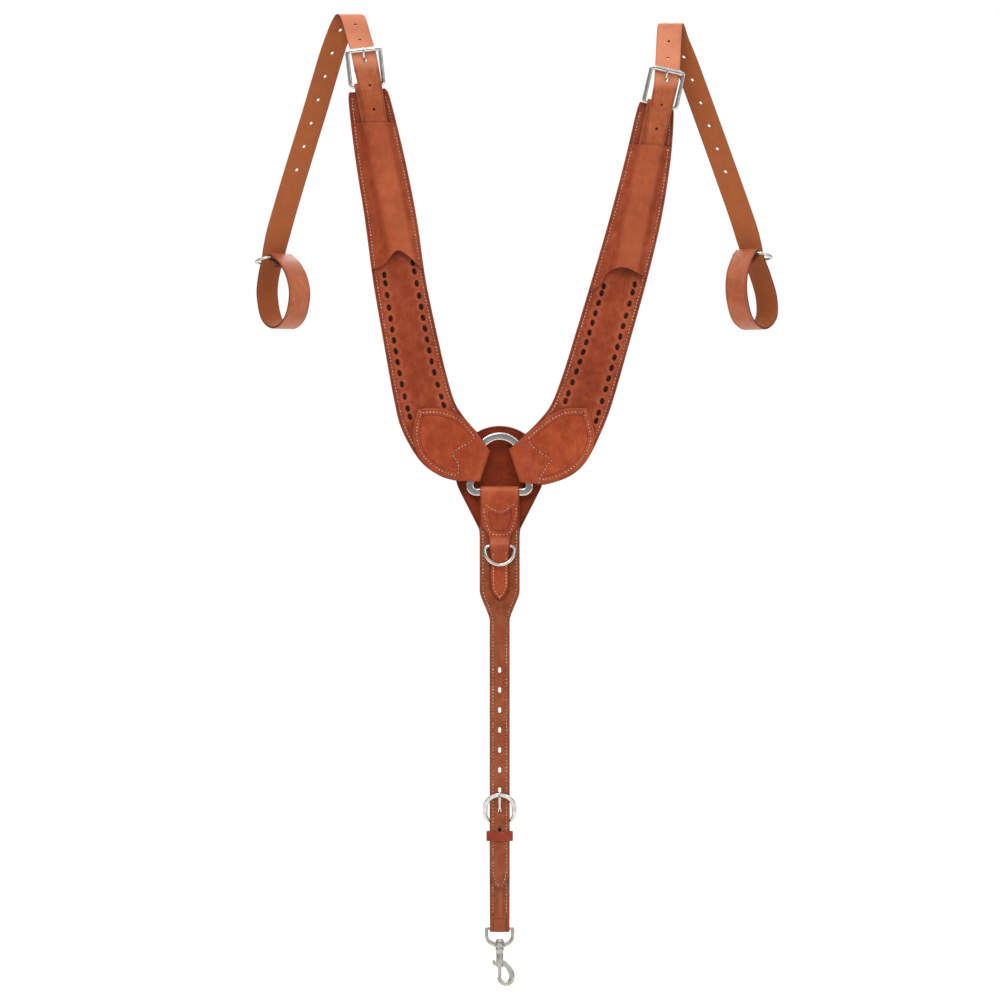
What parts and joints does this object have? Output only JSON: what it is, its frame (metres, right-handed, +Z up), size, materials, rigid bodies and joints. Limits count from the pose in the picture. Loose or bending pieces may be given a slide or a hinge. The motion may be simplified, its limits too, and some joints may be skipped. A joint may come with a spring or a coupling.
{
  "type": "western breast collar",
  "caption": "Leather horse breast collar: contoured shoulder pieces on a centre ring, a down strap with a swivel bolt snap, and buckled tug straps with loop ends.",
  "frame": {"origin": "centre of the flat ring that joins the three straps, on its middle plane", "axes": "+Z up as the collar hangs, towards the tug straps; outer grain side faces -Y; +X to the right seen from the front"},
  "size_m": [0.669, 0.0912, 1.2385],
  "materials": {
    "russet_leather": "oiled russet grain, outer side",
    "lining_leather": "smooth russet lining leather",
    "flesh_leather": "flesh side of strap leather",
    "dark_leather": "dark oiled skirting leather",
    "lace_leather": "dark latigo lace",
    "nickel": "polished nickel plate",
    "satin_nickel": "satin nickel on cast snap",
    "spring_steel": "plain spring steel"
  },
  "bodies": {
    "ring": {"centre_ring": "nickel"},
    "down_strap": {"down_strap_front": "russet_leather", "down_strap_lining": "lining_leather", "ring_tab": "russet_leather", "ring_safe": "dark_leather", "down_buckle_frame": "nickel", "snap_strap": "russet_leather"},
    "tie_dee": {"tie_dee": "nickel"},
    "down_tongue": {"down_buckle_tongue": "nickel"},
    "keeper": {"strap_keeper": "russet_leather"},
    "snap_eye": {"snap_eye": "satin_nickel"},
    "snap_hook": {"snap_hook_body": "satin_nickel", "snap_swivel_stud": "satin_nickel", "snap_spring": "spring_steel"},
    "snap_bolt": {"snap_bolt": "satin_nickel"},
    "left_shoulder": {"left_body_front": "russet_leather", "left_body_lining": "lining_leather", "left_sleeve": "russet_leather", "left_shoulder_tab": "russet_leather", "left_lacing": "lace_leather", "left_buckle_chape": "russet_leather", "left_buckle_frame": "nickel", "left_tug_strap": "flesh_leather"},
    "left_roller": {"left_buckle_roller": "nickel"},
    "left_tongue": {"left_buckle_tongue": "nickel"},
    "left_tug_ring": {"left_tug_ring": "nickel"},
    "right_shoulder": {"right_body_front": "russet_leather", "right_body_lining": "lining_leather", "right_sleeve": "russet_leather", "right_shoulder_tab": "russet_leather", "right_lacing": "lace_leather", "right_buckle_chape": "russet_leather", "right_buckle_frame": "nickel", "right_tug_strap": "flesh_leather"},
    "right_roller": {"right_buckle_roller": "nickel"},
    "right_tongue": {"right_buckle_tongue": "nickel"},
    "right_tug_ring": {"right_tug_ring": "nickel"}
  },
  "joints": [
    {"name": "left_shoulder_swing", "type": "hinge", "parent": "ring", "child": "left_shoulder", "pos_m": [-0.03, 0, 0.002], "axis": [0.3189, 0, 0.9478], "range_deg": [-8, 55]},
    {"name": "right_shoulder_swing", "type": "hinge", "parent": "ring", "child": "right_shoulder", "pos_m": [0.03, 0, 0.002], "axis": [0.3189, 0, -0.9478], "range_deg": [-8, 55]},
    {"name": "down_strap_swing", "type": "hinge", "parent": "ring", "child": "down_strap", "pos_m": [0, 0, -0.03575], "axis": [-1, 0, 0], "range_deg": [0, 60]},
    {"name": "tie_dee_flip", "type": "hinge", "parent": "down_strap", "child": "tie_dee", "pos_m": [0, -0.0053, -0.104], "axis": [-1, 0, 0], "range_deg": [0, 150]},
    {"name": "down_tongue_play", "type": "hinge", "parent": "down_strap", "child": "down_tongue", "pos_m": [0, 0.0078, -0.455], "axis": [1, 0, 0], "range_deg": [0, 4]},
    {"name": "keeper_slide", "type": "slide", "parent": "down_strap", "child": "keeper", "axis": [0, 0, -1], "range_m": [0, 0.1]},
    {"name": "snap_eye_swing", "type": "hinge", "parent": "down_strap", "child": "snap_eye", "pos_m": [0, 0.0055, -0.5904], "axis": [-1, 0, 0], "range_deg": [-60, 60]},
    {"name": "snap_swivel", "type": "hinge", "parent": "snap_eye", "child": "snap_hook", "pos_m": [0, 0.0055, -0.615], "axis": [0, 0, 1], "continuous": true},
    {"name": "bolt_slide", "type": "slide", "parent": "snap_hook", "child": "snap_bolt", "axis": [0, 0, 1], "range_m": [0, 0.008], "stiffness_N_per_m": 400, "springref_m": -0.004, "deforming": ["snap_spring"]},
    {"name": "left_roller_spin", "type": "hinge", "parent": "left_shoulder", "child": "left_roller", "pos_m": [-0.1726, -0.0174, 0.52427], "axis": [0.9945, 0, 0.1045], "continuous": true},
    {"name": "right_roller_spin", "type": "hinge", "parent": "right_shoulder", "child": "right_roller", "pos_m": [0.2129, -0.0174, 0.49838], "axis": [0.9744, 0, -0.225], "continuous": true},
    {"name": "left_tongue_play", "type": "hinge", "parent": "left_shoulder", "child": "left_tongue", "pos_m": [-0.168, -0.008, 0.4805], "axis": [0.9945, 0, 0.1045], "range_deg": [0, 2]},
    {"name": "right_tongue_play", "type": "hinge", "parent": "right_shoulder", "child": "right_tongue", "pos_m": [0.203, -0.008, 0.4555], "axis": [0.9744, 0, -0.225], "range_deg": [0, 2]},
    {"name": "left_tug_ring_play", "type": "hinge", "parent": "left_shoulder", "child": "left_tug_ring", "pos_m": [-0.2796, 0.0326, 0.2638], "axis": [0.7986, 0.6018, 0], "range_deg": [0, 25]},
    {"name": "right_tug_ring_play", "type": "hinge", "parent": "right_shoulder", "child": "right_tug_ring", "pos_m": [0.3156, 0.0288, 0.2692], "axis": [0.809, -0.5878, 0], "range_deg": [0, 25]}
  ]
}
